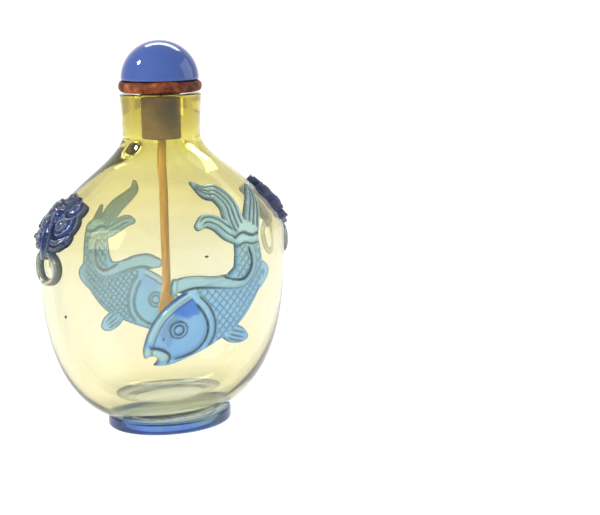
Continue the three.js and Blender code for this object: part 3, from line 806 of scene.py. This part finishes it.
# Furnace grit, melted into the glass: dull, near black. Its grain of 0.3 mm is too fine to show.
grit = {
    "noise": {"Scale": 3000.0}, "tones": [[0.35, "#14120C"], [0.65, "#3A3424"]], "finish": {"Roughness": 0.8},
    # two specks caught in the front wall, each its place in mm, then half its width, height and depth
    "specks": [[-0.7, -15.5, 33.9, 0.4, 0.22, 0.12], [-22.3, -3.4, 23.9, 0.3, 0.3, 0.12]],
}


def makeSpecks():
    points, faces = [], []
    levels = np.linspace(-0.98, 0.98, 9)
    bulge = np.sqrt(1 - levels ** 2)
    for x, y, z, wide, tall, deep in grit["specks"]:
        grain, around = loftOvals(list(zip(wide * bulge, deep * bulge, z + tall * levels)), 12)
        faces += [tuple(len(points) + i for i in face) for face in around]
        points += (grain + [x, y, 0]).tolist()
    addPiece("dark_specks", points, faces, makeSurface("FurnaceGrit", grit), 80)


stopper = {
    "collarRadius": 7.65, "collarBottom": 62.4, "collarHeight": 2.1, "collarSides": 144,
    "domeRadius": 7.15, "domeHeight": 7.2, "domeSides": 128,
    "corkRadius": 3.65, "corkBottom": 53.8, "corkSides": 96,
}


# Nearly opaque blue glass, cast and polished: glossy, with faint clouds about 8 mm across
domeGlass = {
    "noise": {"Scale": 120.0, "Detail": 2.0}, "tones": [[0, "#304888"], [1, "#3E5794"]],
    "finish": {"Roughness": 0.06, "IOR": 1.5, "Transmission Weight": 0.12},
}


def makeDome():
    s = stopper
    base, radius = s["collarBottom"] + s["collarHeight"], s["domeRadius"]
    loops = [circle(radius - 0.4, base + 0.02), circle(radius - 0.1, base + 0.08)]
    loops += [circle(radius * math.cos(a), base + 0.2 + (s["domeHeight"] - 0.2) * math.sin(a))
              for a in np.linspace(0, np.pi / 2, 40)[:-1]]
    loops.append(circle(0.08, base + s["domeHeight"]))
    points, faces = loftOvals(loops, s["domeSides"])
    material = makeSurface("PolishedBlueDomeGlass", domeGlass)
    dome = addPiece("glass_dome", points, faces, material)
    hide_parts("stopper_dome")


# Leather, stained red and handled: mottled in spots of about 2.6 mm, dull, darker in its pores
leather = {
    "noise": {"Scale": 380.0, "Detail": 6.0, "Roughness": 0.7},
    "tones": [[0.4, "#38160C"], [0.54, "#70361C"], [0.68, "#A65C2E"]],
    "bump": (0.5, 0.2), "finish": {"Roughness": 0.62, "Specular IOR Level": 0.25},
}


def makeCollar():
    s = stopper
    half = s["collarHeight"] / 2
    middle = s["collarBottom"] + half
    loops = [circle(3.7, s["collarBottom"])]
    loops += [circle(s["collarRadius"] - half + half * math.cos(a) ** 0.7, middle + half * math.sin(a))
              for a in np.linspace(-np.pi / 2, np.pi / 2, 15)]
    loops += [circle(5, middle + half), circle(2, middle + half)]

    # a cut edge of leather is never quite even
    def wobble(row, i, angles):
        share = min(i, 12) / 12
        row[:, 2] += 0.07 * share * (np.sin(3 * angles + 1) + 0.6 * np.sin(7 * angles + 2) - 1.3)
        swell = 1 + 0.004 * np.sin(5 * angles + i) + 0.004 * np.sin(17 * angles + 0.5 * i)
        row[:, :2] *= np.minimum(swell, 1.004)[:, None]
        return row

    points, faces = loftOvals(loops, s["collarSides"], wobble=wobble)
    material = makeSurface("StainedLeather", leather)
    collar = addPiece("leather_collar", points, faces, material)
    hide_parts("stopper_collar")


# Cork, cut: dark tan with brown pores of about 1 mm, and a darker soft patch towards the front
corkLook = {
    "noise": {"Scale": 900.0, "Detail": 4.0, "Roughness": 0.7},
    "tones": [[0.32, "#33260F"], [0.66, "#6C5028"]],
    "patch": {"middle": (-0.2, -4.8, 58.8), "radius": 4, "share": 0.92, "colour": "#1A0E05"},
    "bump": (0.6, 0.2), "finish": {"Roughness": 0.85, "Specular IOR Level": 0.1},
}


def makeCorkPlug():
    s = stopper
    radius, bottom = s["corkRadius"], s["corkBottom"]
    loops = [circle(radius - 0.4, bottom), circle(radius - 0.12, bottom + 0.08)]
    loops += [circle(radius, level) for level in np.linspace(bottom + 0.3, s["collarBottom"] - 0.02, 16)]

    def wobble(row, i, angles):
        dent = 0.012 * np.sin(9 * angles + 1.7 * i) + 0.012 * np.sin(23 * angles + 2.3 * i)
        row[:, :2] *= (1 - 0.015 + dent)[:, None]
        return row

    points, faces = loftOvals(loops, s["corkSides"], wobble=wobble)
    cork = addPiece("cork_plug", points, faces, makeSurface("CorkWithDarkPatch", corkLook))
    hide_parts("cork")


# Bone, filed thin and stained amber: satin, with streaks 0.7 mm wide and 6 mm long
boneLook = {
    "stretch": (1400, 1400, 160), "noise": {"Scale": 1.0, "Detail": 4.0, "Roughness": 0.6},
    "tones": [[0.3, "#8C6224"], [0.7, "#B08A42"]],
    "bump": (0.25, 0.1), "finish": {"Roughness": 0.42},
}
spoon = {
    "stemRadius": 0.8, "bowlHalfWidth": 2.1, "bowlHalf": 0.45, "dish": 0.5, "neckLevel": 27, "tipLevel": 14,
    "sides": 28,
}


def makeSpoon():
    s = spoon
    levels = np.concatenate([np.linspace(stopper["corkBottom"] + 0.02, s["neckLevel"], 30),
                             np.linspace(s["neckLevel"], s["tipLevel"], 40)[1:]])
    t = np.clip((s["neckLevel"] - levels) / (s["neckLevel"] - s["tipLevel"]), 0, 1)
    swell = np.sin(np.pi * t ** 1.3)
    tip = np.sqrt(np.maximum(1 - t ** 6, 0.02))
    wide = (s["stemRadius"] + (s["bowlHalfWidth"] - s["stemRadius"]) * swell) * tip
    thick = (s["stemRadius"] + (s["bowlHalf"] - s["stemRadius"]) * np.minimum(t * 4, 1)) * tip

    def wobble(row, i, angles):
        row[:, 1] += s["dish"] * swell[i] * (1 - np.cos(angles) ** 2)
        return row

    points, faces = loftOvals(list(zip(wide, thick, levels)), s["sides"], wobble=wobble)
    piece = addPiece("bone_spoon", points, faces, makeSurface("AmberBone", boneLook))
    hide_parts("spoon")


print("body")
makeBody()
makeSpecks()
print("carp")
carpGlass = makeCasingGlass("carp", "PaleBlueCasingGlass")
# a brighter, bluer copy of the carp glass: painted light for the carp seen through the bottle
backCarpBrightenedGlass = makeCasingGlass("backCarp", "BackCarpBrightenedCasingGlass")
carvedPiece("carp_front", front, (-13.4, 13.8, 15.2, 47.6), carpShape({}), carpGlass)
carvedPiece("carp_back", back, (-12, 12, 13, 46.4), carpShape(backCarp), backCarpBrightenedGlass)
print("masks")
maskGlass = makeCasingGlass("mask", "DeepBlueCasingGlass")
carvedPiece("mask_left", left, (-5.5, 28.8, 7.9, 45), maskShape(mask["forward"]), maskGlass)
carvedPiece("mask_right", right, (-7.9, 28.8, 5.5, 45), maskShape(-mask["forward"]), maskGlass)
print("foot")
makeFoot()
print("stopper and spoon")
makeDome()
makeCollar()
makeCorkPlug()
makeSpoon()

# The camera of the photo, fitted to the outlines in it: angles in degrees, distance and aim in mm, and the
# focal length in pixels
view = {
    "azimuth": -30, "elevation": 10.363, "distance": 283.146, "aim": (0, 0, 33),
    "yaw": 5.104, "pitch": -0.493, "roll": 1.730, "focal": 1507.064, "imageWidth": 600, "sensorWidth": 36,
}


def turned(vector, axis, degrees):
    angle = math.radians(degrees)
    along = axis * np.dot(axis, vector) * (1 - math.cos(angle))
    return vector * math.cos(angle) + np.cross(axis, vector) * math.sin(angle) + along


def makeCamera():
    a, e = math.radians(view["azimuth"]), math.radians(view["elevation"])
    toCamera = np.array([math.sin(a) * math.cos(e), -math.cos(a) * math.cos(e), math.sin(e)])
    place = np.array(view["aim"]) + toCamera * view["distance"]
    ahead = -toCamera
    side = np.cross(ahead, (0, 0, 1))
    side /= np.linalg.norm(side)
    up = np.cross(side, ahead)
    ahead, side = turned(ahead, up, -view["yaw"]), turned(side, up, -view["yaw"])
    ahead, up = turned(ahead, side, view["pitch"]), turned(up, side, view["pitch"])
    side, up = turned(side, ahead, view["roll"]), turned(up, ahead, view["roll"])
    data = bpy.data.cameras.new("Camera")
    data.sensor_width = view["sensorWidth"]
    data.lens = view["focal"] * view["sensorWidth"] / view["imageWidth"]
    data.clip_start, data.clip_end = 0.01, 20
    camera = bpy.data.objects.new("Camera", data)
    scene.collection.objects.link(camera)
    columns = np.stack([side, up, -ahead, place * mm], 1)
    camera.matrix_world = Matrix([*columns.tolist(), [0, 0, 0, 1]])
    scene.camera = camera


# The room's tone, from the camera's side (0) past the two sides (0.5) to the far side (1), and its
# brightness. A softbox is its direction from the middle of the bottle, as right of the camera, up and towards
# the camera, then its distance, width and height in metres, and its brightness.
studio = {
    "room": [[0, "#D2D2D0"], [0.25, "#D6D6D4"], [0.45, "#CCCCCA"], [0.8, "#CCCCCA"], [0.95, "#FFFFFF"]],
    "roomGlow": 1.04, "floor": "#8C8C8A", "floorGlow": 0.86, "floorHalf": 3.0, "middle": (0, 0, 0.035),
    "softboxes": {
        "lamp": [(-0.73, 0.67, 0.07), 0.5, 0.09, 0.09, 30],
        "overhead": [(0.1, 0.75, -0.62), 0.6, 0.5, 0.14, 8.5],
        "card": [(0.93, 0.33, -0.1), 0.5, 0.35, 0.35, 1.3],
        "fill": [(-0.35, 0.45, 0.8), 0.9, 0.6, 0.6, 7],
    },
}


def makeFloor():
    half = studio["floorHalf"]
    mesh = bpy.data.meshes.new("floor")
    corners = [(-half, -half, 0), (half, -half, 0), (half, half, 0), (-half, half, 0)]
    mesh.from_pydata(corners, [], [(0, 1, 2, 3)])
    material, tree = newMaterial("PalePaper")
    shader = addNode(tree, "ShaderNodeBsdfPrincipled", {
        "Base Color": hexColour(studio["floor"]), "Roughness": 0.9, "Specular IOR Level": 0.2,
        "Emission Color": (1, 1, 1, 1), "Emission Strength": studio["floorGlow"]})
    addNode(tree, "ShaderNodeOutputMaterial", links={"Surface": shader.outputs["BSDF"]})
    mesh.materials.append(material)
    floor = bpy.data.objects.new("floor", mesh)
    scene.collection.objects.link(floor)


def makeRoom():
    world = bpy.data.worlds.new("Studio")
    scene.world = world
    world.use_nodes = True
    tree = world.node_tree
    tree.nodes.clear()
    a = math.radians(view["azimuth"])
    place = addNode(tree, "ShaderNodeTexCoord")
    facing = addNode(tree, "ShaderNodeVectorMath", {
        "operation": "DOT_PRODUCT", 1: (-math.sin(a), math.cos(a), 0)}, {0: place.outputs["Generated"]})
    share = addNode(tree, "ShaderNodeMapRange", {"From Min": -1.0}, {"Value": facing.outputs["Value"]})
    shade = addNode(tree, "ShaderNodeValToRGB", links={"Fac": share.outputs["Result"]})
    fillRamp(shade, studio["room"])
    room = addNode(tree, "ShaderNodeBackground", {"Strength": studio["roomGlow"]},
                   {"Color": shade.outputs["Color"]})
    addNode(tree, "ShaderNodeOutputWorld", links={"Surface": room.outputs["Background"]})


def makeLights():
    a = math.radians(view["azimuth"])
    toCamera = np.array([math.sin(a), -math.cos(a), 0])
    side = np.array([math.cos(a), math.sin(a), 0])
    for name, (way, distance, width, height, radiance) in studio["softboxes"].items():
        way = way[0] * side + way[1] * np.array([0, 0, 1]) + way[2] * toCamera
        way /= np.linalg.norm(way)
        data = bpy.data.lights.new(name, "AREA")
        data.shape = "DISK" if name == "lamp" else "RECTANGLE"
        data.size, data.size_y = width, height
        data.energy = radiance * math.pi * width * height
        lamp = bpy.data.objects.new(name, data)
        scene.collection.objects.link(lamp)
        lamp.visible_glossy = name != "fill"    # the fill lifts the shadows, but has no image in the glass
        lamp.location = np.array(studio["middle"]) + way * distance
        lamp.rotation_mode = "QUATERNION"
        lamp.rotation_quaternion = Vector(way).to_track_quat("Z", "Y")


print("camera, floor and light")
makeCamera()
makeFloor()
makeRoom()
makeLights()
scene.view_settings.view_transform = "Standard"
scene.cycles.max_bounces = 24
scene.cycles.transmission_bounces = 24
scene.cycles.transparent_max_bounces = 16
scene.cycles.caustics_reflective = False
scene.cycles.caustics_refractive = True
